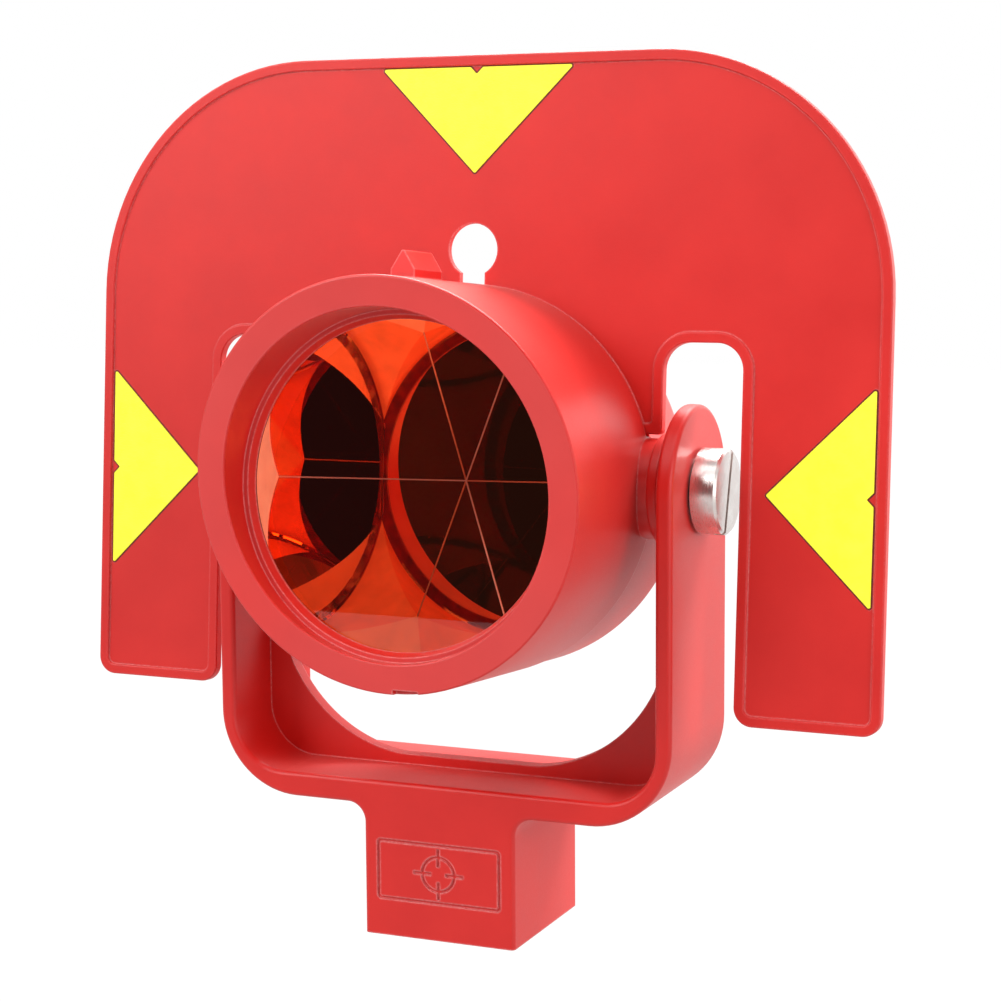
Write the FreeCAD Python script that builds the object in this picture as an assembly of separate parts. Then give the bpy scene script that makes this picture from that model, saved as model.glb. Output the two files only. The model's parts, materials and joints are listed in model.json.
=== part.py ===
"""Survey prism: a 62 mm corner-cube reflector in a tilting holder with a clip-on target plate.

Millimetres, +Z up. The origin is the mouth of the spigot socket, at the centre of the base's
underside. The prism looks towards -Y and tilts about the X axis at the height tilt_height.
The head parts (holder, glass, cap, plate, pivot screws) are modelled upright about the tilt
axis and then placed, tilted nose-up by rest_tilt_deg, by place_head().
"""
import FreeCAD
import Part
import math
import os

V = FreeCAD.Vector

# ---------------------------------------------------------------- driving dimensions
tilt_height = 86.0           # tilt axis above the socket mouth
rest_tilt_deg = 4.3          # nose-up tilt of the head in the rest pose

# yoke: a socket block under a U-shaped strap with a central web
yoke_depth = 31.6
base_width = 31.0
strap_outer = 92.5           # across the outside of the two arms
arm_thickness = 3.15
bar_bottom = 25.2
bar_thickness = 4.7
strap_outer_radius = 16.0
strap_inner_radius = 10.0
base_neck_radius = 3.6       # concave corner between socket block and strap
edge_round = 0.9
web_thickness = 2.8
web_crest = 31.9             # height of the web over the middle of the bar
web_crest_half = 14.3
web_shoulder = (28.9, 37.5)  # a point on the web's curved edge
web_end = (37.9, 48.2)       # where the curved edge turns up along the arm
web_top = 64.0               # where the web runs out into the arm
pad_radius = 11.0
pad_face = 41.6              # inner face of the arm's bearing pad
pivot_hole_radius = 4.0
washer_recess_radius = 6.7
washer_recess_depth = 0.8

# spigot socket and its latch
socket_radius = 6.02
socket_depth = 24.0
emblem_half_width = 12.8
emblem_bottom = 7.0
emblem_top = 18.8
emblem_line = 0.6
emblem_depth = 0.35
emblem_ring_radius = 3.6
emblem_hub_radius = 1.5
emblem_arm_across = 5.2
emblem_arm_up = 4.9
emblem_corner_outer = 0.8
emblem_corner_inner = 0.4
bush_radius = 7.6
latch_z = 11.3               # middle height of the latch plate
latch_plate_thickness = 3.0
latch_slot_height = 3.6
latch_gap = 0.3              # side clearance of the latch plate in its slot
latch_plate_half = 10.0
latch_plate_front = -8.5
latch_plate_rear = 14.0
latch_slot_front = -10.6
latch_offset = 1.8           # latch hole's offset from the socket axis, and the button's travel
latch_hole_radius = 6.3
button_half_width = 6.5
button_half_height = 2.4
button_gap = 0.3
button_front = 14.05
button_rear = 18.8
button_round = 0.9
button_ridge_pitch = 1.1
button_ridge_width = 0.5
button_ridge_half_length = 4.5
button_ridge_depth = 0.3
pocket_side_room = 0.2       # more room round the button inside the block than in the cover
pocket_top_room = 0.1
pocket_end_room = 0.4
tongue_half = 4.0
tongue_rear = 17.0
cover_half_width = 14.4
cover_half_height = 4.2
cover_thickness = 1.5
cover_screw_x = 12.4
cover_screw_head_radius = 1.7
cover_screw_radius = 1.0
cover_screw_length = 7.0
cover_screw_head_height = 0.9
cover_screw_cross = 1.1       # half length of the cross recess
cover_screw_cross_width = 0.44
spring_coil_radius = 1.3
spring_wire_radius = 0.24
spring_pocket_radius = 1.8
spring_seat = -13.8
spring_turns = 7

# prism holder (head frame: origin on the tilt axis, y back, z up)
barrel_radius = 37.3
rim_y = -37.9                # where the plane of the front rim crosses the optical axis
rim_lean_deg = 8.4           # the rim's top stands forward of its bottom, as a sunshade
rim_outer_round = 0.4
rim_inner_round = 0.3
bore_mouth_radius = 31.7
bore_step_y = -31.0
bore_step_radius = 30.7
lip_radius = 29.9
lip_y = -29.3
pocket_radius = 32.65
rear_bore_radius = 34.0
rear_bore_y = -6.0
parting_y = 0.3              # joint between the barrel and the rear cap
groove_half = 1.3            # half width of the plate's groove, which straddles the joint
groove_radius = 35.6
groove_floor_z = 9.5         # the groove runs over the top, down to this height on each side
boss_radius = 9.3
boss_inner = 34.2
boss_face = 39.2
sight_width = 4.7
sight_front = -31.0
sight_rear = -19.5
sight_eaves = 38.7
sight_ridge = 42.5
notch_x = 2.9
notch_width = 5.0
notch_depth = 0.9
notch_length = 1.6

# glass corner cube
glass_radius = 32.4
glass_front = -28.8
glass_half_across = 31.0     # from the axis to each back face, at the front
ridge_bevel = 0.26           # width of the bevel on the three back ridges
front_bevel = 0.4
ridge_azimuths_deg = (180.0, 60.0, -60.0)
face_azimuths_deg = (0.0, 120.0, -120.0)

# parts behind the glass
clamp_front = -5.7
clamp_rear = -2.5
clamp_inner_radius = 31.4
clamp_outer_radius = 33.95
lug_reach = 21.5
lug_width = 14.0
pad_front = -15.0
pad_width = 12.0
pad_outer = 26.5
cap_seal_front = -2.45
cap_seal_rear = -1.6
cap_spigot_front = -1.55
cap_spigot_radius = 33.9
cap_radius = 37.0
cap_rear = 23.0
cap_corner_radius = 5.5
cap_wall = 2.4
cap_inner_radius = 32.0
cap_dish_radius = 22.0
cap_dish_depth = 0.7
wrench_hole_offset = 15.0
wrench_hole_radius = 1.6
wrench_hole_depth = 1.0

# trunnions
insert_radius = 3.8
insert_inner = 34.6
thread_radius = 2.5
thread_clearance = 0.05
shank_radius = 3.95
shank_inner = 39.3
thrust_washer = (39.25, 41.5)
thrust_washer_radius = 10.4
thrust_washer_round = 0.6
washer_hole_radius = 4.1
screw_head_radius = 7.9
screw_head_inner = 46.9
screw_head_outer = 51.75
screw_chamfer = 0.45
coin_slot_width = 1.1
coin_slot_depth = 2.0
coin_slot_turn_deg = 11.5    # top of the slot leans back in the rest pose
screw_end = 34.9

# target plate (head frame)
plate_half_width = 81.1
plate_flare = 0.45           # extra half width at the foot of each leg
plate_top = 80.3
plate_bottom = -42.6
plate_corner_radius = 45.0
plate_thickness = 2.2
panel_thickness = 1.2
rim_width = 2.0
rim_round = 0.3
leg_corner_radius = 3.5
slot_inner = 38.9
slot_outer = 54.1
slot_top = 27.0
slot_corner_radius = 5.0
tongue_bottom = 10.0
saddle_radius = 35.9
saddle_bead_radius = 37.2
keyhole_z = 43.75
keyhole_radius = 5.0
keyhole_neck_half = 2.5
mark_length = 19.9           # from a mark's base to its tip
mark_half_base = 19.7
mark_thickness = 0.4
mark_recess = 0.25
mark_gap = 0.12
mark_notch = 1.3
mark_corner_radius = 0.3
mark_base_gap = 0.12         # between the rim's inner edge and a mark's recess
side_mark_drop = 0.3         # the side marks sit this far below the optical axis

half_depth = yoke_depth / 2
base_half = base_width / 2
arm_outer = strap_outer / 2
arm_inner = arm_outer - arm_thickness
floor_z = bar_bottom + bar_thickness
root2 = math.sqrt(2.0)
glass_height = glass_half_across * root2
apex_y = glass_front + glass_height


# ---------------------------------------------------------------- helpers
def box(x0, x1, y0, y1, z0, z1):
    return Part.makeBox(x1 - x0, y1 - y0, z1 - z0, V(x0, y0, z0))


def rod_x(radius, x0, x1, y=0.0, z=0.0):
    return Part.makeCylinder(radius, x1 - x0, V(x0, y, z), V(1, 0, 0))


def rod_y(radius, y0, y1, x=0.0, z=0.0):
    return Part.makeCylinder(radius, y1 - y0, V(x, y0, z), V(0, 1, 0))


def rod_z(radius, z0, z1, x=0.0, y=0.0):
    return Part.makeCylinder(radius, z1 - z0, V(x, y, z0), V(0, 0, 1))


def turned(profile):
    """Solid of revolution about the Y axis from a closed profile of (y, radius) points."""
    points = [V(radius, y, 0) for y, radius in profile]
    face = Part.Face(Part.makePolygon(points + points[:1]))
    return face.revolve(V(0, 0, 0), V(0, 1, 0), 360)


def outline(corners):
    """Closed wire in the XZ plane through (x, z, radius) corners, each rounded by an arc."""
    edges = []
    starts = []
    ends = []
    arcs = []
    count = len(corners)
    for i, (x, z, radius) in enumerate(corners):
        corner = V(x, 0, z)
        before = V(corners[i - 1][0], 0, corners[i - 1][1])
        after = V(corners[(i + 1) % count][0], 0, corners[(i + 1) % count][1])
        to_before = (before - corner).normalize()
        to_after = (after - corner).normalize()
        if radius == 0:
            starts.append(corner)
            ends.append(corner)
            arcs.append(None)
            continue
        half_angle = to_before.getAngle(to_after) / 2
        reach = radius / math.tan(half_angle)
        inward = (to_before + to_after).normalize()
        centre = corner + inward * (radius / math.sin(half_angle))
        starts.append(corner + to_before * reach)
        ends.append(corner + to_after * reach)
        arcs.append(Part.Arc(starts[i], centre - inward * radius, ends[i]).toShape())
    for i in range(count):
        if arcs[i] is not None:
            edges.append(arcs[i])
        edges.append(Part.LineSegment(ends[i], starts[(i + 1) % count]).toShape())
    return Part.Wire(edges)


def slab(corners, y0, y1):
    """The outline's area, extruded along Y from y0 to y1."""
    face = Part.Face(outline(corners))
    face.translate(V(0, y0, 0))
    return face.extrude(V(0, y1 - y0, 0))


def rectangle(x0, x1, z0, z1, radius=0.0):
    return [(x0, z0, radius), (x1, z0, radius), (x1, z1, radius), (x0, z1, radius)]


def rings_at(shape, radius, y):
    """The circular edges of a given radius about the Y axis at one station."""
    found = []
    for edge in shape.Edges:
        curve = edge.Curve
        if not isinstance(curve, Part.Circle):
            continue
        if abs(curve.Radius - radius) < 0.01 and abs(curve.Center.y - y) < 0.01:
            found.append(edge)
    return found


def about_axis(shape, azimuth_deg):
    """Turn a shape made at azimuth 0 (+X) about the optical axis; azimuth runs from +X to +Z."""
    turned_shape = shape.copy()
    turned_shape.rotate(V(0, 0, 0), V(0, 1, 0), -azimuth_deg)
    return turned_shape


def mirrored(shape):
    return shape.mirror(V(0, 0, 0), V(1, 0, 0))


def place_head(shape):
    """Tilt a head-frame shape nose-up and lift it to the tilt axis."""
    placed = shape.copy()
    placed.rotate(V(0, 0, 0), V(1, 0, 0), -rest_tilt_deg)
    placed.translate(V(0, 0, tilt_height))
    return placed


def write(node, shape):
    shape.exportStep("parts/" + node + ".step")


# ---------------------------------------------------------------- yoke
def strap_corners(half, bottom, radius):
    top = tilt_height + half_depth + 1
    return [(-half, bottom, radius), (half, bottom, radius), (half, top, 0), (-half, top, 0)]


def web():
    """Thin wall in the middle of the U, cut away along the path of the swinging head."""
    wall = slab(strap_corners(arm_inner + 0.5, floor_z - 0.5, strap_inner_radius),
                -web_thickness / 2, web_thickness / 2)
    crest = V(web_crest_half, 0, web_crest)
    shoulder = V(web_shoulder[0], 0, web_shoulder[1])
    end = V(web_end[0], 0, web_end[1])
    high = tilt_height + yoke_depth
    corner = V(arm_inner + 0.5, 0, web_top)
    right = [
        Part.Arc(crest, shoulder, end).toShape(),
        Part.LineSegment(end, corner).toShape(),
        Part.LineSegment(corner, V(corner.x, 0, high)).toShape(),
    ]
    across = Part.LineSegment(V(corner.x, 0, high), V(-corner.x, 0, high)).toShape()
    bottom = Part.LineSegment(V(-crest.x, 0, crest.z), crest).toShape()
    left = [edge.mirror(V(0, 0, 0), V(1, 0, 0)) for edge in right]
    opening = Part.Face(Part.Wire(Part.__sortEdges__([bottom] + right + [across] + left)))
    opening.translate(V(0, -web_thickness, 0))
    return wall.cut(opening.extrude(V(0, 2 * web_thickness, 0)))


def arm_side_profile():
    """Side view of the yoke: straight sides up to the tilt axis, then a full round."""
    column = box(-arm_outer - 1, arm_outer + 1, -half_depth, half_depth, 0, tilt_height)
    crown = rod_x(half_depth, -arm_outer - 1, arm_outer + 1, 0, tilt_height)
    return column.fuse(crown)


def outer_edges(shape):
    """Edges round the front and rear of the strap and block, and over the crowns of the arms."""
    found = []
    for edge in shape.Edges:
        bounds = edge.BoundBox
        on_face = bounds.YLength < 0.01 and abs(abs(bounds.YMin) - half_depth) < 0.01
        on_floor = bounds.ZMax < 0.01
        on_crown = bounds.XLength < 0.01 and bounds.ZMax > tilt_height + 1
        if (on_face and not on_floor) or on_crown:
            found.append(edge)
    return found


def yoke_blank():
    outer = slab(strap_corners(arm_outer, bar_bottom, strap_outer_radius), -half_depth, half_depth)
    inner = slab(strap_corners(arm_inner, floor_z, strap_inner_radius), -half_depth - 1, half_depth + 1)
    strap = outer.cut(inner).common(arm_side_profile())
    block = box(-base_half, base_half, -half_depth, half_depth, 0, bar_bottom + 1)
    blank = strap.fuse(block).removeSplitter()
    necks = []
    for edge in blank.Edges:
        bounds = edge.BoundBox
        at_neck = abs(bounds.ZMin - bar_bottom) < 0.01 and bounds.ZLength < 0.01
        if at_neck and bounds.XLength < 0.01 and abs(abs(bounds.XMin) - base_half) < 0.01:
            necks.append(edge)
    blank = blank.makeFillet(base_neck_radius, necks)
    return blank.makeFillet(edge_round, outer_edges(blank))


def front_emblem():
    """Shallow engraved frame round a plain crosshair, cut into the socket block's front."""
    line = emblem_line
    middle = (emblem_bottom + emblem_top) / 2
    y0 = -half_depth - 1
    y1 = -half_depth + emblem_depth
    x1, z0, z1 = emblem_half_width, emblem_bottom, emblem_top
    frame = slab(rectangle(-x1, x1, z0, z1, emblem_corner_outer), y0, y1)
    inner = rectangle(-x1 + line, x1 - line, z0 + line, z1 - line, emblem_corner_inner)
    frame = frame.cut(slab(inner, y0, y1))
    ring = rod_y(emblem_ring_radius, y0, y1, 0, middle)
    ring = ring.cut(rod_y(emblem_ring_radius - line, y0, y1, 0, middle))
    across = box(-emblem_arm_across, emblem_arm_across, y0, y1, middle - line / 2, middle + line / 2)
    upright = box(-line / 2, line / 2, y0, y1, middle - emblem_arm_up, middle + emblem_arm_up)
    cross = across.fuse(upright).cut(rod_y(emblem_hub_radius, y0, y1, 0, middle))
    return frame.fuse(ring).fuse(cross)


def latch_space():
    """Slot for the latch plate, pocket for the button, cover recess, spring and screw holes."""
    half = latch_plate_half + latch_gap
    z0 = latch_z - latch_slot_height / 2
    cover_front = half_depth - cover_thickness
    slot = box(-half, half, latch_slot_front, cover_front + 0.1, z0, z0 + latch_slot_height)
    pocket_half = button_half_width + button_gap + pocket_side_room
    pocket_high = button_half_height + button_gap + pocket_top_room
    pocket = box(-pocket_half, pocket_half, button_front - latch_offset - pocket_end_room, half_depth,
                 latch_z - pocket_high, latch_z + pocket_high)
    recess = box(-cover_half_width, cover_half_width, cover_front, half_depth + 1,
                 latch_z - cover_half_height, latch_z + cover_half_height)
    spring_hole = rod_y(spring_pocket_radius, spring_seat - 0.1, latch_slot_front + 0.1, 0, latch_z)
    space = slot.fuse(pocket).fuse(recess).fuse(spring_hole)
    for side in (-1, 1):
        end = cover_front - cover_screw_length
        space = space.fuse(rod_y(cover_screw_radius, end, cover_front, side * cover_screw_x, latch_z))
    return space


def make_yoke():
    body = yoke_blank().fuse(web())
    for side in (-1, 1):
        x0, x1 = sorted((side * pad_face, side * (arm_inner + 0.5)))
        body = body.fuse(rod_x(pad_radius, x0, x1, 0, tilt_height))
    for side in (-1, 1):
        x0, x1 = sorted((side * (pad_face - 1), side * (arm_outer + 1)))
        body = body.cut(rod_x(pivot_hole_radius, x0, x1, 0, tilt_height))
        x0, x1 = sorted((side * (arm_outer - washer_recess_depth), side * (arm_outer + 1)))
        body = body.cut(rod_x(washer_recess_radius, x0, x1, 0, tilt_height))
    body = body.cut(rod_z(bush_radius, -1, socket_depth))
    body = body.cut(latch_space())
    return body.cut(front_emblem())


def spigot_bush(z0, z1):
    bush = rod_z(bush_radius, z0, z1).cut(rod_z(socket_radius, z0 - 1, z1 + 1))
    return bush


# ---------------------------------------------------------------- latch
def make_latch_plate():
    z0 = latch_z - latch_plate_thickness / 2
    z1 = z0 + latch_plate_thickness
    half = latch_plate_half
    plate = box(-half, half, latch_plate_front, latch_plate_rear, z0, z1)
    plate = plate.fuse(box(-tongue_half, tongue_half, latch_plate_rear - 1, tongue_rear, z0, z1))
    return plate.cut(rod_z(latch_hole_radius, z0 - 1, z1 + 1, 0, latch_offset)).removeSplitter()


def make_latch_button():
    block = box(-button_half_width, button_half_width, button_front, button_rear,
                latch_z - button_half_height, latch_z + button_half_height)
    rear_edges = [e for e in block.Edges if e.BoundBox.YMin > button_rear - 0.01]
    side_edges = [e for e in block.Edges if e.BoundBox.YLength > 1]
    block = block.makeFillet(button_round, rear_edges + side_edges)
    z0 = latch_z - latch_plate_thickness / 2
    hollow = box(-tongue_half, tongue_half, button_front - 1, tongue_rear, z0, z0 + latch_plate_thickness)
    for ridge in (-1, 0, 1):
        middle = latch_z + ridge * button_ridge_pitch
        block = block.cut(box(-button_ridge_half_length, button_ridge_half_length,
                              button_rear - button_ridge_depth, button_rear + 1,
                              middle - button_ridge_width / 2, middle + button_ridge_width / 2))
    return block.cut(hollow)


def make_latch_spring():
    """Compression spring along Y between the socket block and the latch plate."""
    length = latch_plate_front - spring_seat - 2 * spring_wire_radius - 0.1
    helix = Part.makeHelix(length / spring_turns, length, spring_coil_radius)
    start = V(spring_coil_radius, 0, 0)
    section = Part.Wire(Part.makeCircle(spring_wire_radius, start, V(0, 1, 0)))
    coil = Part.Wire(helix).makePipeShell([section], True, True)
    coil.rotate(V(0, 0, 0), V(1, 0, 0), -90)
    coil.translate(V(0, spring_seat + spring_wire_radius + 0.05, latch_z))
    return coil


def make_latch_cover():
    y0 = half_depth - cover_thickness
    high = cover_half_height - 0.05
    wide = cover_half_width - 0.05
    cover = slab(rectangle(-wide, wide, latch_z - high, latch_z + high, 0.6), y0, half_depth)
    window_x = button_half_width + button_gap
    window_z = button_half_height + button_gap
    cover = cover.cut(box(-window_x, window_x, y0 - 1, half_depth + 1,
                          latch_z - window_z, latch_z + window_z))
    for side in (-1, 1):
        x = side * cover_screw_x
        cover = cover.cut(rod_y(cover_screw_radius + 0.1, y0 - 1, half_depth + 1, x, latch_z))
        cover = cover.cut(rod_y(cover_screw_head_radius, half_depth - 1.0, half_depth + 1, x, latch_z))
    return cover


def make_cover_screws():
    screws = []
    reach = cover_screw_cross
    half = cover_screw_cross_width / 2
    head_rear = half_depth - 0.1
    head_front = head_rear - cover_screw_head_height
    tip = half_depth - cover_thickness - cover_screw_length + 0.5
    cross_floor = head_rear - cover_screw_head_height / 2
    for side in (-1, 1):
        x = side * cover_screw_x
        head = rod_y(cover_screw_head_radius, head_front, head_rear, x, latch_z)
        screw = head.fuse(rod_y(cover_screw_radius, tip, head_front + 0.1, x, latch_z))
        across = box(x - reach, x + reach, cross_floor, half_depth, latch_z - half, latch_z + half)
        upright = box(x - half, x + half, cross_floor, half_depth, latch_z - reach, latch_z + reach)
        screws.append(screw.cut(across.fuse(upright)))
    return Part.makeCompound(screws)


# ---------------------------------------------------------------- prism holder and glass
def sight():
    """Small gabled fore-sight on top of the barrel."""
    half = sight_width / 2
    gable = [(-half, barrel_radius - 1.5, 0), (half, barrel_radius - 1.5, 0), (half, sight_eaves, 0),
             (0, sight_ridge, 0.4), (-half, sight_eaves, 0)]
    return slab(gable, sight_front, sight_rear)


def half_space(point, normal):
    """A large block filling the side of the plane that the normal points away from."""
    size = 200.0
    block = box(-size, size, -size, size, -2 * size, 0)
    block.rotate(V(0, 0, 0), V(0, 0, 1).cross(normal), math.degrees(V(0, 0, 1).getAngle(normal)))
    block.translate(point)
    return block


def plate_groove():
    """Channel round the top of the barrel joint that the target plate's saddle sits in."""
    size = 2 * barrel_radius
    ring = rod_y(size, -groove_half, groove_half).cut(rod_y(groove_radius, -groove_half, groove_half))
    return ring.common(box(-size, size, -size, size, groove_floor_z, size))


def boss(side):
    x0, x1 = sorted((side * boss_inner, side * boss_face))
    return rod_x(boss_radius, x0, x1)


def barrel_shell():
    """Barrel cut off in front by the leaning plane of the rim, with its edges rounded."""
    front = rim_y - barrel_radius
    shell = turned([
        (front, bore_mouth_radius), (front, barrel_radius),
        (parting_y, barrel_radius), (parting_y, rear_bore_radius),
        (rear_bore_y, rear_bore_radius), (rear_bore_y, pocket_radius),
        (lip_y, pocket_radius), (lip_y, lip_radius),
        (bore_step_y, bore_step_radius), (bore_step_y, bore_mouth_radius),
    ])
    lean = math.radians(rim_lean_deg)
    shell = shell.common(half_space(V(0, rim_y, 0), V(0, -math.cos(lean), -math.sin(lean))))
    rims = []
    for edge in shell.Edges:
        bounds = edge.BoundBox
        if bounds.YMin < rim_y and bounds.XLength > 2 * bore_mouth_radius - 0.01:
            rims.append(edge)
    rims.sort(key=lambda edge: edge.BoundBox.XLength)
    shell = shell.makeFillet(rim_inner_round, rims[:1])
    rims = [e for e in shell.Edges if e.BoundBox.YMin < rim_y and e.BoundBox.XLength > 2 * barrel_radius - 0.01]
    return shell.makeFillet(rim_outer_round, rims)


def make_prism_holder():
    shell = barrel_shell().cut(plate_groove())
    hollow = rod_y(rear_bore_radius, rear_bore_y, boss_radius + 1)
    for side in (-1, 1):
        shell = shell.fuse(boss(side).cut(hollow))
    shell = shell.fuse(sight())
    for side in (-1, 1):
        x0, x1 = sorted((side * (boss_inner - 1), side * (boss_face + 1)))
        shell = shell.cut(rod_x(insert_radius, x0, x1))
    rim_bottom = rim_y + barrel_radius * math.tan(math.radians(rim_lean_deg))
    notch = box(notch_x - notch_width / 2, notch_x + notch_width / 2, rim_bottom - 1,
                rim_bottom + notch_length, -barrel_radius - 1, -barrel_radius + notch_depth)
    return shell.cut(notch)


def make_corner_cube():
    """Three mutually perpendicular back faces behind a round front, with bevelled ridges."""
    apex = V(0, apex_y, 0)
    glass = rod_y(glass_radius, glass_front, apex_y)
    for azimuth in face_azimuths_deg:
        across = math.radians(azimuth)
        normal = V(root2 * math.cos(across), 1, root2 * math.sin(across)).normalize()
        glass = glass.common(half_space(apex, normal))
    for azimuth in ridge_azimuths_deg:
        across = math.radians(azimuth)
        normal = V(math.cos(across), root2, math.sin(across)).normalize()
        glass = glass.common(half_space(apex - normal * (ridge_bevel / 2), normal))
    front_edges = []
    for edge in glass.Edges:
        bounds = edge.BoundBox
        if bounds.YMax < glass_front + 0.01:
            front_edges.append(edge)
    return glass.makeChamfer(front_bevel, front_edges)


def make_front_seal():
    return turned([(lip_y, lip_radius + 0.1), (lip_y, pocket_radius - 0.05),
                   (glass_front, pocket_radius - 0.05), (glass_front, lip_radius + 0.1)])


def make_prism_pads():
    """Three wedge-shaped cushions, one on each back face of the glass."""
    def face_distance(y):
        return (apex_y - y) / root2 + 0.02
    pads = []
    for azimuth in face_azimuths_deg:
        points = [V(face_distance(pad_front), pad_front, 0), V(pad_outer, pad_front, 0),
                  V(pad_outer, clamp_front, 0), V(face_distance(clamp_front), clamp_front, 0)]
        section = Part.Face(Part.makePolygon(points + points[:1]))
        section.translate(V(0, 0, -pad_width / 2))
        pads.append(about_axis(section.extrude(V(0, 0, pad_width)), azimuth))
    return Part.makeCompound(pads)


def make_clamp_ring():
    """Threaded ring behind the glass, with a lug over each cushion."""
    ring = turned([(clamp_front, clamp_inner_radius), (clamp_front, clamp_outer_radius),
                   (clamp_rear, clamp_outer_radius), (clamp_rear, clamp_inner_radius)])
    lug = box(lug_reach, clamp_inner_radius + 1.0, clamp_front, clamp_rear, -lug_width / 2, lug_width / 2)
    for azimuth in face_azimuths_deg:
        ring = ring.fuse(about_axis(lug, azimuth))
    return ring.removeSplitter()


def make_cap_seal():
    return turned([(cap_seal_front, cap_inner_radius), (cap_seal_front, rear_bore_radius - 0.1),
                   (cap_seal_rear, rear_bore_radius - 0.1), (cap_seal_rear, cap_inner_radius)])


def make_rear_cap():
    shoulder = parting_y + 0.02
    shell = turned([(cap_spigot_front, 0), (cap_spigot_front, cap_spigot_radius),
                    (shoulder, cap_spigot_radius), (shoulder, cap_radius),
                    (cap_rear, cap_radius), (cap_rear, 0)])
    shell = shell.makeFillet(cap_corner_radius, rings_at(shell, cap_radius, cap_rear))
    hollow = rod_y(cap_inner_radius, cap_spigot_front - 1, cap_rear - cap_wall)
    hollow = hollow.makeFillet(cap_corner_radius - cap_wall,
                               rings_at(hollow, cap_inner_radius, cap_rear - cap_wall))
    shell = shell.cut(hollow)
    shell = shell.cut(rod_y(cap_dish_radius, cap_rear - cap_dish_depth, cap_rear + 1))
    for side in (-1, 1):
        shell = shell.cut(rod_y(wrench_hole_radius, cap_rear - cap_dish_depth - wrench_hole_depth,
                                cap_rear, side * wrench_hole_offset))
        x0, x1 = sorted((side * (boss_inner - 0.15), side * (cap_radius + 2)))
        shell = shell.cut(rod_x(boss_radius + 0.2, x0, x1))
    return shell.cut(plate_groove())


# ---------------------------------------------------------------- trunnions
def make_trunnion_insert():
    insert = rod_x(insert_radius, insert_inner, boss_face)
    return insert.cut(rod_x(thread_radius, insert_inner - 1, boss_face + 1))


def make_thrust_washer():
    x0, x1 = thrust_washer
    washer = rod_x(thrust_washer_radius, x0, x1)
    washer = washer.makeFillet(thrust_washer_round, [e for e in washer.Edges if e.BoundBox.XLength < 0.01])
    return washer.cut(rod_x(washer_hole_radius, x0 - 1, x1 + 1))


def make_spring_washer():
    x0 = arm_outer - washer_recess_depth + 0.1
    washer = rod_x(washer_recess_radius - 0.4, x0, screw_head_inner)
    return washer.cut(rod_x(washer_hole_radius, x0 - 1, screw_head_inner + 1))


def make_pivot_screw():
    head = rod_x(screw_head_radius, screw_head_inner, screw_head_outer)
    rims = [e for e in head.Edges if e.BoundBox.XMin > screw_head_outer - 0.01]
    head = head.makeChamfer(screw_chamfer, rims)
    slot = box(screw_head_outer - coin_slot_depth, screw_head_outer + 1,
               -coin_slot_width / 2, coin_slot_width / 2,
               -screw_head_radius - 1, screw_head_radius + 1)
    slot.rotate(V(0, 0, 0), V(1, 0, 0), -coin_slot_turn_deg)
    head = head.cut(slot)
    shank = rod_x(shank_radius, shank_inner, screw_head_inner + 0.5)
    thread = rod_x(thread_radius - thread_clearance, screw_end, shank_inner + 0.5)
    return head.fuse(shank).fuse(thread).removeSplitter()


# ---------------------------------------------------------------- target plate
def plate_corners(inset=0.0):
    """Corners of the plate's outline; with an inset, of the panel inside its raised rim."""
    wide = plate_half_width - inset
    top = plate_top - inset
    bottom = plate_bottom + inset
    outer = slot_outer + inset
    inner = slot_inner - inset
    roof = slot_top + inset
    tip = tongue_bottom + inset
    leg = max(leg_corner_radius - inset, 0.8)
    slot = slot_corner_radius + inset
    right = [(inner, tip, 0.8), (inner, roof, slot), (outer, roof, slot), (outer, bottom, leg),
             (wide + plate_flare, bottom, leg), (wide, top, plate_corner_radius - inset)]
    left = [(-x, z, radius) for x, z, radius in reversed(right)]
    return right + left


def mark_corners(grow=0.0):
    """A target mark pointing down, its base on z = 0, with a small notch in the base."""
    wide = mark_half_base + 2.4 * grow
    tip = -mark_length - 1.4 * grow
    radius = mark_corner_radius
    notch = mark_notch
    return [(-wide, grow, radius), (-notch, grow, 0.3), (0, grow - notch, 0.2), (notch, grow, 0.3),
            (wide, grow, radius), (0, tip, radius)]


def mark_places():
    """Name, turn about the optical axis and base position of each mark."""
    base_gap = rim_width + mark_gap + mark_base_gap
    return [("top", 0.0, 0.0, plate_top - base_gap),
            ("left", 90.0, -plate_half_width + base_gap, -side_mark_drop),
            ("right", -90.0, plate_half_width - base_gap, -side_mark_drop)]


def mark_solid(turn_deg, x, z, y0, y1, grow):
    shape = slab(mark_corners(grow), y0, y1)
    shape.rotate(V(0, 0, 0), V(0, 1, 0), -turn_deg)
    shape.translate(V(x, 0, z))
    return shape


def make_target_plate():
    half = plate_thickness / 2
    panel = panel_thickness / 2
    plate = slab(plate_corners(), -half, half)
    bead = rod_y(saddle_bead_radius, -half, half)
    for y0, y1 in ((-half - 1, -panel), (panel, half + 1)):
        plate = plate.cut(slab(plate_corners(rim_width), y0, y1).cut(bead))
    plate = plate.cut(rod_y(saddle_radius, -half - 1, half + 1))
    plate = plate.cut(rod_y(keyhole_radius, -half - 1, half + 1, 0, keyhole_z))
    plate = plate.cut(box(-keyhole_neck_half, keyhole_neck_half, -half - 1, half + 1, 0, keyhole_z))
    rims = []
    for edge in plate.Edges:
        bounds = edge.BoundBox
        if bounds.YLength < 0.01 and abs(abs(bounds.YMin) - half) < 0.01:
            rims.append(edge)
    plate = plate.makeFillet(rim_round, rims)
    floor_y = -panel + mark_recess
    for place in mark_places():
        plate = plate.cut(mark_solid(*place[1:], -half - 1, floor_y, mark_gap))
    return plate


def make_target_mark(turn_deg, x, z):
    y0 = -panel_thickness / 2 + mark_recess - mark_thickness
    return mark_solid(turn_deg, x, z, y0, y0 + mark_thickness, 0.0)


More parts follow.
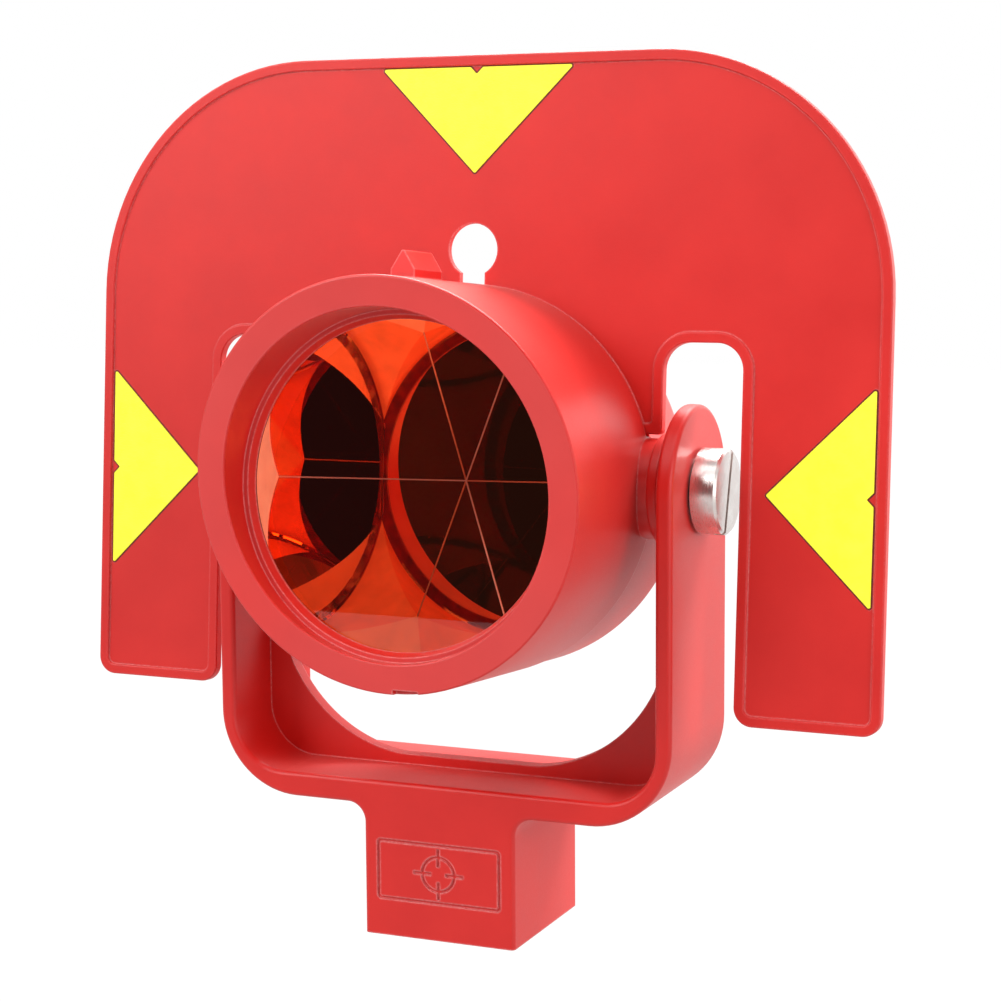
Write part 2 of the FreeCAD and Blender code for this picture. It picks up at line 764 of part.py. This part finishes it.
# ---------------------------------------------------------------- assembly
def main():
    os.makedirs("parts", exist_ok=True)
    slot_low = latch_z - latch_slot_height / 2
    slot_high = latch_z + latch_slot_height / 2
    write("yoke", make_yoke())
    write("spigot_bush_lower", spigot_bush(0.0, slot_low))
    write("spigot_bush_upper", spigot_bush(slot_high, socket_depth))
    write("latch_plate", make_latch_plate())
    write("latch_button", make_latch_button())
    write("latch_spring", make_latch_spring())
    write("latch_cover", make_latch_cover())
    write("latch_cover_screws", make_cover_screws())

    write("prism_holder", place_head(make_prism_holder()))
    write("corner_cube", place_head(make_corner_cube()))
    write("front_seal", place_head(make_front_seal()))
    write("prism_pads", place_head(make_prism_pads()))
    write("clamp_ring", place_head(make_clamp_ring()))
    write("cap_seal", place_head(make_cap_seal()))
    write("rear_cap", place_head(make_rear_cap()))

    sided = [("trunnion_insert", make_trunnion_insert()), ("thrust_washer", make_thrust_washer()),
             ("spring_washer", make_spring_washer()), ("pivot_screw", make_pivot_screw())]
    for name, shape in sided:
        write(name + "_right", place_head(shape))
        write(name + "_left", place_head(mirrored(shape)))

    write("target_plate", place_head(make_target_plate()))
    for name, turn_deg, x, z in mark_places():
        write("target_mark_" + name, place_head(make_target_mark(turn_deg, x, z)))


main()
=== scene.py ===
"""Looks of the survey prism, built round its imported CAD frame. Metres, +Z up, prism facing -Y."""
import bmesh
import bpy
import json
import math
from mathutils import Matrix, Vector


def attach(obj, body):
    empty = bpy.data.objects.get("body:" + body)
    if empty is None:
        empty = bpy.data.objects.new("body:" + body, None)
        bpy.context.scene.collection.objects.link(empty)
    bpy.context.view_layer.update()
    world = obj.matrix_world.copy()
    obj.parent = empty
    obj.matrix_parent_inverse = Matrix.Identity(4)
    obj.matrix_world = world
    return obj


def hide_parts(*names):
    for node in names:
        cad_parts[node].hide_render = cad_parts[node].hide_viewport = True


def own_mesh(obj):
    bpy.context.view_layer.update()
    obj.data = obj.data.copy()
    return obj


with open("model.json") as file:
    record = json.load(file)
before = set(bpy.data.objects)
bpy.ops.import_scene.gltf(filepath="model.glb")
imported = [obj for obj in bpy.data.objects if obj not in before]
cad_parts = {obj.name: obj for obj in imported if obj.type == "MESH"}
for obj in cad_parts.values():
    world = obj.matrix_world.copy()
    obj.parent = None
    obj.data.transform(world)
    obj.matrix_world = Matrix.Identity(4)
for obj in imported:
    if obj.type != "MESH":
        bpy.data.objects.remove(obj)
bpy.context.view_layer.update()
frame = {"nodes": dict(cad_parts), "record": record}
record = frame["record"]
MM = 0.001

# ---------------------------------------------------------------- camera and light settings
CAMERA_AZIMUTH = math.radians(23.5)
CAMERA_ELEVATION = math.radians(7.22)
CAMERA_ROLL = math.radians(-0.39)
CAMERA_TARGET = Vector((0.00647, 0.0, 0.08243))
CAMERA_DISTANCE = 0.4466
LENS_MM = 84.66
SENSOR_MM = 36.0
TILT_HEIGHT = 0.086          # height of the tilt axis
REST_TILT = math.radians(4.3)
REFLECTOR_AZIMUTH = math.radians(46.0)   # measured from +X towards +Y
REFLECTOR_LEVEL = 2.1
REFLECTOR_FOCUS = 2.2
REAR_LEVEL = 0.24
DIM_ROOM_LEVEL = 0.014
FLOOR_GLOW = 0.85
FLOOR_SEEN = 1.06
FLOOR_HALF = 1.5
# bevel radius that finds the edges for the painted edge highlight
EDGE_HIGHLIGHT_MM = 0.6
GLASS_BOUNCES = 14             # light turns many times inside the corner cube
ALL_BOUNCES = 20
WELD_GAP = 1e-6
LINE_GAP = 0.00001
LINE_WIDTH = 0.00032
LINE_FRONT = 0.00012           # behind the front of the mark
LINE_BACK = 0.00030
SHARPEST_MITRE = 0.45          # keeps the line from spiking at a mark's point


# ---------------------------------------------------------------- node helpers
class Tree:
    """A short way to add shader nodes and link them."""

    def __init__(self, owner):
        owner.use_nodes = True
        self.nodes = owner.node_tree.nodes
        self.links = owner.node_tree.links
        self.nodes.clear()

    def add(self, kind, settings=None, **inputs):
        node = self.nodes.new("ShaderNode" + kind)
        for name, value in (settings or {}).items():
            setattr(node, name, value)
        for name, value in inputs.items():
            self.set(node, name.replace("_", " "), value)
        return node

    def set(self, node, name, value):
        socket = node.inputs[int(name[1:])] if name[0] == "#" else node.inputs[name]
        if isinstance(value, bpy.types.NodeSocket):
            self.links.new(value, socket)
        else:
            socket.default_value = value

    def math(self, operation, a, b=0.0, clamp=False):
        node = self.add("Math", {"operation": operation, "use_clamp": clamp})
        self.set(node, "#0", a)
        self.set(node, "#1", b)
        return node.outputs[0]

    def span(self, value, low, high, out_low=0.0, out_high=1.0):
        node = self.add("MapRange")
        for name, number in (("Value", value), ("From Min", low), ("From Max", high),
                             ("To Min", out_low), ("To Max", out_high)):
            self.set(node, name, number)
        return node.outputs[0]

    def noise(self, vector, scale, detail=3.0, roughness=0.55):
        node = self.add("TexNoise", Scale=scale, Detail=detail, Roughness=roughness)
        self.links.new(vector, node.inputs["Vector"])
        return node.outputs["Fac"]

    def blend(self, factor, first, second):
        node = self.add("Mix", {"data_type": "RGBA"})
        self.set(node, "#0", factor)
        self.set(node, "#6", first)
        self.set(node, "#7", second)
        return node.outputs[2]

    def bump(self, height, depth_mm, normal=None, strength=1.0):
        node = self.add("Bump", Strength=strength, Distance=depth_mm * MM)
        self.links.new(height, node.inputs["Height"])
        if normal is not None:
            self.links.new(normal, node.inputs["Normal"])
        return node.outputs[0]

    def finish(self, shader):
        self.links.new(shader, self.add("OutputMaterial").inputs[0])


def new_material(name):
    material = bpy.data.materials.new(name)
    return material, Tree(material)


def rgba(color):
    return (*color, 1.0)


# ---------------------------------------------------------------- materials
def moulded_plastic(name, deep, pale, roughness, grain_mm, grain_depth_mm, edge_mm=0.22, sheen=0.17,
                    front_highlight=0.0):
    """Moulded plastic: spark-eroded grain, faint flow mottling, grazing sheen and a painted highlight that
    makes the edges paler.

    The last argument makes faces that look towards -Y paler, a painted highlight.
    """
    material, t = new_material(name)
    place = t.add("TexCoord").outputs["Object"]
    grain = t.noise(place, 1.0 / (grain_mm * MM), 2.0, 0.6)
    pits = t.noise(place, 0.31 / (grain_mm * MM), 3.0, 0.65)
    flow = t.noise(place, 55.0, 4.0, 0.6)
    haze = t.noise(place, 17.0, 2.0, 0.5)
    soft = t.add("Bevel", {"samples": 4}, Radius=edge_mm * MM).outputs[0]
    broad = t.add("Bevel", {"samples": 6}, Radius=EDGE_HIGHLIGHT_MM * MM).outputs[0]
    flat = t.add("NewGeometry").outputs["Normal"]
    # painted highlight along edges, where the broad bevel bends the normal away from the face
    facing = t.add("VectorMath", {"operation": "DOT_PRODUCT"})
    t.links.new(broad, facing.inputs[0])
    t.links.new(flat, facing.inputs[1])
    edge = t.span(facing.outputs["Value"], 0.985, 0.86, 0.0, 1.0)
    highlight_mask = t.math("MULTIPLY", edge, t.span(pits, 0.35, 0.62, 0.35, 1.0))
    if front_highlight:
        # painted highlight on faces that look towards -Y
        front = t.add("VectorMath", {"operation": "DOT_PRODUCT"})
        t.links.new(t.add("TexCoord").outputs["Normal"], front.inputs[0])
        front.inputs[1].default_value = (0.0, -1.0, 0.0)
        front_glint_mask = t.span(front.outputs["Value"], 0.93, 0.97, 0.0, front_highlight)
        front_glint_mask = t.math("MULTIPLY", front_glint_mask, t.span(haze, 0.3, 0.7, 0.7, 1.5))
        highlight_mask = t.math("ADD", highlight_mask, front_glint_mask, clamp=True)
    body = t.blend(t.span(flow, 0.32, 0.68), rgba(deep), rgba(pale))
    body = t.blend(t.span(haze, 0.35, 0.7, 0.0, 0.25), body, rgba([c * 0.86 for c in deep]))
    # pale colour of the painted edge and front highlights
    highlight_color = [min(1.0, 0.80 * c + 0.24) for c in pale]
    body = t.blend(t.math("MULTIPLY", highlight_mask, 0.85), body, rgba(highlight_color))
    rough = t.span(grain, 0.3, 0.7, roughness - 0.04, roughness + 0.05)
    rough = t.math("ADD", rough, t.span(flow, 0.3, 0.7, -0.03, 0.03))
    rough = t.math("SUBTRACT", rough, t.math("MULTIPLY", highlight_mask, 0.10), clamp=True)
    height = t.math("ADD", t.math("MULTIPLY", grain, 0.7), t.math("MULTIPLY", pits, 0.5))
    shader = t.add("BsdfPrincipled", IOR=1.49, Sheen_Weight=sheen, Sheen_Roughness=0.38)
    shader.inputs["Sheen Tint"].default_value = (1.0, 0.70, 0.64, 1)
    t.set(shader, "Base Color", body)
    t.set(shader, "Roughness", rough)
    t.set(shader, "Normal", t.bump(height, grain_depth_mm, soft))
    t.finish(shader.outputs[0])
    return material


def mark_film():
    """Fluorescent lemon film with fine prismatic cells and a faint painted glow."""
    material, t = new_material("lemon_film")
    place = t.add("TexCoord").outputs["Object"]
    cells = t.add("TexVoronoi", {"feature": "DISTANCE_TO_EDGE"}, Scale=1.0 / (0.55 * MM))
    t.links.new(place, cells.inputs["Vector"])
    ridge = t.span(cells.outputs["Distance"], 0.0, 0.16)
    cloud = t.noise(place, 210.0, 4.0, 0.65)
    color = t.blend(t.span(cloud, 0.36, 0.7), (0.93, 0.90, 0.030, 1), (0.90, 0.92, 0.050, 1))
    color = t.blend(t.span(ridge, 0.0, 1.0, 0.10, 0.0), color, (0.70, 0.66, 0.03, 1))
    shader = t.add("BsdfPrincipled", IOR=1.45)
    t.set(shader, "Base Color", color)
    # painted glow: faint emission in the film's own colour
    t.set(shader, "Emission Color", color)
    shader.inputs["Emission Strength"].default_value = 0.16
    t.set(shader, "Roughness", t.span(cloud, 0.3, 0.7, 0.36, 0.50))
    t.set(shader, "Normal", t.bump(ridge, 0.02))
    t.finish(shader.outputs[0])
    return material


def painted_gap_shadow():
    """Brown-black line of painted shadow round each mark, where the gap of its recess lies in shade."""
    material, t = new_material("gap_shadow_line")
    place = t.add("TexCoord").outputs["Object"]
    speckle = t.noise(place, 1500.0, 3.0, 0.6)
    shader = t.add("BsdfPrincipled", IOR=1.46)
    color = t.blend(t.span(speckle, 0.35, 0.65), (0.10, 0.006, 0.004, 1), (0.22, 0.012, 0.008, 1))
    t.set(shader, "Base Color", color)
    t.set(shader, "Roughness", t.span(speckle, 0.3, 0.7, 0.45, 0.7))
    t.set(shader, "Normal", t.bump(speckle, 0.03))
    t.finish(shader.outputs[0])
    return material


def turned_metal(name, color, dark, roughness, axis_height, ring_mm=0.09, depth_mm=0.006):
    """Metal turned about the X axis at the given height: fine rings and lines round the axis."""
    material, t = new_material(name)
    place = t.add("TexCoord").outputs["Object"]
    parts = t.add("SeparateXYZ")
    t.links.new(place, parts.inputs[0])
    rise = t.math("SUBTRACT", parts.outputs["Z"], axis_height)
    square = t.math("ADD", t.math("MULTIPLY", parts.outputs["Y"], parts.outputs["Y"]),
                    t.math("MULTIPLY", rise, rise))
    radius = t.math("SQRT", square)
    rings = t.add("CombineXYZ")
    t.links.new(radius, rings.inputs["X"])
    t.links.new(parts.outputs["X"], rings.inputs["Y"])
    tool = t.noise(rings.outputs[0], 1.0 / (ring_mm * MM), 2.0, 0.7)
    coarse = t.noise(rings.outputs[0], 0.2 / (ring_mm * MM), 2.0, 0.5)
    smear = t.noise(place, 420.0, 4.0, 0.6)
    shader = t.add("BsdfPrincipled", Metallic=1.0)
    t.set(shader, "Base Color", t.blend(t.span(smear, 0.35, 0.72), rgba(color), rgba(dark)))
    rough = t.span(tool, 0.3, 0.7, roughness * 0.8, roughness * 1.25)
    t.set(shader, "Roughness", t.math("ADD", rough, t.span(smear, 0.4, 0.7, 0.0, 0.05)))
    height = t.math("ADD", tool, t.math("MULTIPLY", coarse, 0.8))
    t.set(shader, "Normal", t.bump(height, depth_mm))
    t.finish(shader.outputs[0])
    return material


def worked_metal(name, color, dark, roughness, grain_mm=0.12):
    """Satin metal with fine drawn grain and dull stains."""
    material, t = new_material(name)
    place = t.add("TexCoord").outputs["Object"]
    stretch = t.add("Mapping", Scale=(0.12, 1.0, 1.0))
    t.links.new(place, stretch.inputs["Vector"])
    grain = t.noise(stretch.outputs[0], 1.0 / (grain_mm * MM), 3.0, 0.65)
    stain = t.noise(place, 260.0, 5.0, 0.6)
    shader = t.add("BsdfPrincipled", Metallic=1.0)
    t.set(shader, "Base Color", t.blend(t.span(stain, 0.4, 0.72), rgba(color), rgba(dark)))
    t.set(shader, "Roughness", t.math("ADD", t.span(grain, 0.3, 0.7, roughness - 0.06, roughness + 0.08),
                                      t.span(stain, 0.4, 0.7, 0.0, 0.08)))
    t.set(shader, "Normal", t.bump(grain, 0.01))
    t.finish(shader.outputs[0])
    return material


def soft_matt(name, color, pore_mm, depth_mm, roughness):
    """Rubber or closed-cell foam: pores over a mottled, dusty surface."""
    material, t = new_material(name)
    place = t.add("TexCoord").outputs["Object"]
    pores = t.add("TexVoronoi", Scale=1.0 / (pore_mm * MM))
    t.links.new(place, pores.inputs["Vector"])
    dust = t.noise(place, 300.0, 4.0, 0.6)
    pale = [2.2 * c + 0.01 for c in color]
    shader = t.add("BsdfPrincipled", IOR=1.5)
    t.set(shader, "Base Color", t.blend(t.span(dust, 0.4, 0.75), rgba(color), rgba(pale)))
    t.set(shader, "Roughness", t.span(dust, 0.3, 0.7, roughness - 0.08, roughness + 0.1))
    t.set(shader, "Normal", t.bump(pores.outputs["Distance"], depth_mm))
    t.finish(shader.outputs[0])
    return material


def polished_glass():
    """The prism's front window. Lamps reach the ground parts through it."""
    material, t = new_material("polished_glass")
    place = t.add("TexCoord").outputs["Object"]
    smudge = t.noise(place, 90.0, 4.0, 0.6)
    shader = t.add("BsdfPrincipled", IOR=1.516)
    shader.inputs["Base Color"].default_value = (1, 1, 1, 1)
    shader.inputs["Transmission Weight"].default_value = 1.0
    t.set(shader, "Roughness", t.span(smudge, 0.45, 0.8, 0.0, 0.012))
    clear = t.add("BsdfTransparent")
    path = t.add("LightPath")
    mix = t.add("MixShader")
    t.links.new(path.outputs["Is Shadow Ray"], mix.inputs[0])
    t.links.new(shader.outputs[0], mix.inputs[1])
    t.links.new(clear.outputs[0], mix.inputs[2])
    t.finish(mix.outputs[0])
    return material


def ground_glass(name, color, glow):
    """Fine-ground glass backed by the red housing: pale, matt, with a painted glow that stands in for light
    coming through from behind.
    """
    material, t = new_material(name)
    place = t.add("TexCoord").outputs["Object"]
    frost = t.noise(place, 5200.0, 2.0, 0.6)
    cloud = t.noise(place, 160.0, 3.0, 0.6)
    shader = t.add("BsdfPrincipled", IOR=1.4)
    body = t.blend(t.span(cloud, 0.35, 0.7), rgba(color), rgba([c * 0.82 for c in color]))
    t.set(shader, "Base Color", body)
    # painted glow standing in for light from behind
    t.set(shader, "Emission Color", body)
    shader.inputs["Emission Strength"].default_value = glow
    t.set(shader, "Roughness", t.span(frost, 0.3, 0.7, 0.55, 0.8))
    t.set(shader, "Normal", t.bump(frost, 0.02))
    t.finish(shader.outputs[0])
    return material


def copper_coat():
    """Mirror coating on the three back faces, as it looks from inside the glass."""
    material, t = new_material("copper_coat")
    place = t.add("TexCoord").outputs["Object"]
    bloom = t.noise(place, 130.0, 3.0, 0.55)
    shader = t.add("BsdfPrincipled", Metallic=1.0)
    color = t.blend(t.span(bloom, 0.35, 0.7), (0.97, 0.53, 0.30, 1), (0.95, 0.49, 0.27, 1))
    t.set(shader, "Base Color", color)
    t.set(shader, "Roughness", t.span(bloom, 0.4, 0.8, 0.0, 0.015))
    t.finish(shader.outputs[0])
    return material


RED_DEEP = (0.60, 0.0068, 0.0040)
RED_PALE = (0.67, 0.0115, 0.0070)
BLACK_DEEP = (0.012, 0.012, 0.013)
BLACK_PALE = (0.022, 0.022, 0.023)
OWN_LOOK = {
    # the holder's front faces get a painted highlight
    "prism_holder": moulded_plastic("red_holder", RED_DEEP, RED_PALE, 0.41, 0.20, 0.020, front_highlight=0.14),
}
SLOTS = {
    "red_plastic": moulded_plastic("red_moulded", RED_DEEP, RED_PALE, 0.43, 0.20, 0.022),
    "cap_plastic": moulded_plastic("red_cap", RED_DEEP, RED_PALE, 0.38, 0.22, 0.016),
    "plate_plastic": moulded_plastic("red_plate", RED_DEEP, RED_PALE, 0.47, 0.17, 0.024, 0.2),
    "washer_plastic": moulded_plastic("red_washer", RED_DEEP, RED_PALE, 0.40, 0.25, 0.014),
    "black_plastic": moulded_plastic("black_moulded", BLACK_DEEP, BLACK_PALE, 0.45, 0.2, 0.02, sheen=0.0),
    "yellow_mark": mark_film(),
    "turned_steel": turned_metal("turned_steel", (0.86, 0.81, 0.78), (0.68, 0.61, 0.58), 0.26, TILT_HEIGHT),
    "steel": worked_metal("satin_steel", (0.62, 0.62, 0.61), (0.42, 0.41, 0.40), 0.28),
    "spring_steel": worked_metal("spring_steel", (0.52, 0.52, 0.53), (0.33, 0.31, 0.30), 0.30, 0.08),
    "brass": turned_metal("turned_brass", (0.80, 0.60, 0.28), (0.58, 0.40, 0.17), 0.24, TILT_HEIGHT),
    "rubber": soft_matt("seal_rubber", (0.24, 0.013, 0.008), 0.25, 0.02, 0.62),
    "foam": soft_matt("cell_foam", (0.03, 0.03, 0.032), 0.4, 0.12, 0.8),
    "glass": polished_glass(),
}

# painted shadow for the gaps round the marks
GAP_SHADOW = painted_gap_shadow()


# ---------------------------------------------------------------- pieces
def to_head(point):
    """A world point at rest, in the head's own upright frame about the tilt axis."""
    y, z = point.y, point.z - TILT_HEIGHT
    c, s = math.cos(REST_TILT), math.sin(REST_TILT)
    return Vector((point.x, c * y - s * z, s * y + c * z))


def from_head(x, y, z):
    c, s = math.cos(REST_TILT), math.sin(REST_TILT)
    return Vector((x, c * y + s * z, -s * y + c * z + TILT_HEIGHT))


def add_glass():
    """The corner cube, with its polished front, ground band, mirror faces and ground ridges."""
    mesh = frame["nodes"]["corner_cube"].data.copy()
    mesh.name = "prism_glass"
    mesh.materials.clear()
    mesh.materials.append(SLOTS["glass"])
    mesh.materials.append(ground_glass("ground_band", (0.90, 0.27, 0.15), 0.30))
    mesh.materials.append(copper_coat())
    mesh.materials.append(ground_glass("ground_ridge", (0.50, 0.15, 0.10), 0.12))
    origin = to_head(Vector((0, 0, 0)))
    mirror_lean = 1 / math.sqrt(3)
    for face in mesh.polygons:
        lean = (to_head(Vector(face.normal)) - origin).y
        if lean < -0.3:
            face.material_index = 0
        elif lean < 0.3:
            face.material_index = 1
        elif abs(lean - mirror_lean) < 0.05:
            face.material_index = 2
        else:
            face.material_index = 3
    piece = bpy.data.objects.new("prism_glass", mesh)
    bpy.context.scene.collection.objects.link(piece)
    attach(piece, "head")
    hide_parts("corner_cube")


def add_latch_spring():
    """The coil behind the latch button, on the yoke with a mesh of its own; the real coil shortens as the
    button is pressed.
    """
    mesh = frame["nodes"]["latch_spring"].data.copy()
    mesh.name = "latch_coil"
    piece = bpy.data.objects.new("latch_coil", mesh)
    bpy.context.scene.collection.objects.link(piece)
    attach(piece, "yoke")
    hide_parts("latch_spring")
    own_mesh(piece)


def front_outline(mesh):
    """The corners of a flat part's front face in order, in the head's own frame."""
    form = bmesh.new()
    form.from_mesh(mesh)
    bmesh.ops.remove_doubles(form, verts=form.verts, dist=WELD_GAP)
    origin = to_head(Vector((0, 0, 0)))
    front = {face for face in form.faces if (to_head(face.normal) - origin).y < -0.95}
    rim = [edge for edge in form.edges if sum(face in front for face in edge.link_faces) == 1]
    follow = {}
    for edge in rim:
        face = next(face for face in edge.link_faces if face in front)
        loop = next(loop for loop in face.loops if loop.edge is edge)
        follow[loop.vert] = loop.link_loop_next.vert
    start = next(iter(follow))
    corners, vert = [start], follow[start]
    while vert is not start:
        corners.append(vert)
        vert = follow[vert]
    points = [to_head(vert.co) for vert in corners]
    form.free()
    return points


def widened(points, grow):
    """A closed outline moved outwards in the head's XZ plane."""
    moved = []
    for before, here, after in zip(points[-1:] + points[:-1], points, points[1:] + points[:1]):
        into, out = (here - before).normalized(), (after - here).normalized()
        side_in, side_out = Vector((into.z, 0, -into.x)), Vector((out.z, 0, -out.x))
        bisector = (side_in + side_out).normalized()
        moved.append(here + bisector * grow / max(SHARPEST_MITRE, bisector.dot(side_in)))
    return moved


def add_mark_shadow_line(node):
    """A dark line of painted shadow round a mark, where the gap of its recess lies in shade."""
    points = front_outline(frame["nodes"][node].data)
    area = sum(a.x * b.z - b.x * a.z for a, b in zip(points, points[1:] + points[:1]))
    outward = 1 if area > 0 else -1
    inner = widened(points, outward * LINE_GAP)
    outer = widened(points, outward * LINE_WIDTH)
    count = len(points)
    verts = []
    for ring, lift in ((inner, LINE_FRONT), (outer, LINE_FRONT), (outer, LINE_BACK), (inner, LINE_BACK)):
        verts += [from_head(p.x, p.y + lift, p.z) for p in ring]
    faces = []
    for row in range(4):
        for i in range(count):
            j, below = (i + 1) % count, (row + 1) % 4
            faces.append((row * count + i, row * count + j, below * count + j, below * count + i))
    mesh = bpy.data.meshes.new(node + "_line")
    mesh.from_pydata(verts, [], faces)
    form = bmesh.new()
    form.from_mesh(mesh)
    bmesh.ops.recalc_face_normals(form, faces=form.faces)
    form.to_mesh(mesh)
    form.free()
    mesh.materials.append(GAP_SHADOW)
    piece = bpy.data.objects.new(node + "_line", mesh)
    bpy.context.scene.collection.objects.link(piece)
    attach(piece, "target")


def dress_cad_nodes():
    for part in record["subparts"]:
        mesh = frame["nodes"][part["node"]].data
        mesh.materials.clear()
        mesh.materials.append(OWN_LOOK.get(part["node"], SLOTS[part["material_slot"]]))


# ---------------------------------------------------------------- stage, light and camera
def add_floor():
    """Pale paper that glows evenly, so the object has almost no shadow. The camera sees it as white."""
    material, t = new_material("sweep")
    place = t.add("TexCoord").outputs["Object"]
    tone = t.noise(place, 8.0, 3.0, 0.5)
    glow = t.add("Emission")
    t.set(glow, "Color", t.blend(tone, (0.97, 0.97, 0.97, 1), (1.0, 1.0, 1.0, 1)))
    seen = t.add("LightPath").outputs["Is Camera Ray"]
    t.set(glow, "Strength", t.span(seen, 0.0, 1.0, FLOOR_GLOW, FLOOR_SEEN))
    t.finish(glow.outputs[0])
    mesh = bpy.data.meshes.new("floor")
    form = bmesh.new()
    bmesh.ops.create_grid(form, x_segments=8, y_segments=8, size=FLOOR_HALF)
    form.to_mesh(mesh)
    form.free()
    mesh.materials.append(material)
    floor = bpy.data.objects.new("floor", mesh)
    bpy.context.scene.collection.objects.link(floor)


def add_area(name, place, target, size, watts):
    data = bpy.data.lights.new(name, "AREA")
    data.shape = "RECTANGLE"
    data.size, data.size_y = size
    data.energy = watts
    light = bpy.data.objects.new(name, data)
    light.location = place
    toward = Vector(target) - Vector(place)
    light.rotation_euler = toward.to_track_quat("-Z", "Y").to_euler()
    bpy.context.scene.collection.objects.link(light)


def add_lights():
    aim = (0, 0, 0.09)
    add_area("key_left", (-0.75, -0.85, 0.75), aim, (0.7, 0.7), 12.6)
    add_area("fill_right", (1.0, -0.6, 0.4), aim, (0.5, 0.8), 6.0)
    add_area("top_front", (0.1, -0.45, 1.1), aim, (0.8, 0.6), 4.5)
    add_area("top_back", (0.0, 0.45, 0.9), aim, (0.9, 0.5), 30.0)


def set_world():
    """A white reflector behind and to the right, fading to a dim room on the camera's side.

    The camera itself sees plain white all round.
    """
    world = bpy.data.worlds.new("studio")
    bpy.context.scene.world = world
    t = Tree(world)
    toward = t.add("TexCoord").outputs["Generated"]
    lobe = t.add("VectorMath", {"operation": "DOT_PRODUCT"})
    t.links.new(toward, lobe.inputs[0])
    lobe.inputs[1].default_value = (math.cos(REFLECTOR_AZIMUTH), math.sin(REFLECTOR_AZIMUTH), 0.0)
    facing = t.math("MAXIMUM", lobe.outputs["Value"], 0.0)
    reflector = t.math("MULTIPLY", t.math("POWER", facing, REFLECTOR_FOCUS), REFLECTOR_LEVEL)
    rear = t.add("VectorMath", {"operation": "DOT_PRODUCT"})
    t.links.new(toward, rear.inputs[0])
    rear.inputs[1].default_value = (-math.sin(CAMERA_AZIMUTH), math.cos(CAMERA_AZIMUTH), 0.0)
    room = t.span(rear.outputs["Value"], -0.8, 0.3, DIM_ROOM_LEVEL, REAR_LEVEL)
    around = t.add("Background")
    around.inputs["Color"].default_value = (1, 1, 1, 1)
    t.set(around, "Strength", t.math("ADD", reflector, room))
    seen = t.add("Background")
    seen.inputs["Color"].default_value = (1, 1, 1, 1)
    mix = t.add("MixShader")
    t.links.new(t.add("LightPath").outputs["Is Camera Ray"], mix.inputs[0])
    t.links.new(around.outputs[0], mix.inputs[1])
    t.links.new(seen.outputs[0], mix.inputs[2])
    t.links.new(mix.outputs[0], t.add("OutputWorld").inputs[0])


def add_camera():
    azimuth, elevation = CAMERA_AZIMUTH, CAMERA_ELEVATION
    back = Vector((math.sin(azimuth) * math.cos(elevation),
                   -math.cos(azimuth) * math.cos(elevation),
                   math.sin(elevation)))
    right = Vector((0, 0, 1)).cross(back).normalized()
    up = back.cross(right)
    cos_roll, sin_roll = math.cos(CAMERA_ROLL), math.sin(CAMERA_ROLL)
    rolled_right = cos_roll * right + sin_roll * up
    rolled_up = cos_roll * up - sin_roll * right
    turn = Matrix((rolled_right, rolled_up, back)).transposed().to_4x4()
    data = bpy.data.cameras.new("camera")
    data.lens = LENS_MM
    data.sensor_width = SENSOR_MM
    data.clip_start = 0.01
    camera = bpy.data.objects.new("camera", data)
    camera.matrix_world = Matrix.Translation(CAMERA_TARGET + back * CAMERA_DISTANCE) @ turn
    bpy.context.scene.collection.objects.link(camera)
    bpy.context.scene.camera = camera


dress_cad_nodes()
add_glass()
add_latch_spring()
for mark in ("target_mark_top", "target_mark_left", "target_mark_right"):
    add_mark_shadow_line(mark)
add_floor()
add_lights()
set_world()
add_camera()
bpy.context.scene.view_settings.view_transform = "Standard"
bpy.context.scene.cycles.glossy_bounces = GLASS_BOUNCES
bpy.context.scene.cycles.transmission_bounces = GLASS_BOUNCES
bpy.context.scene.cycles.max_bounces = ALL_BOUNCES
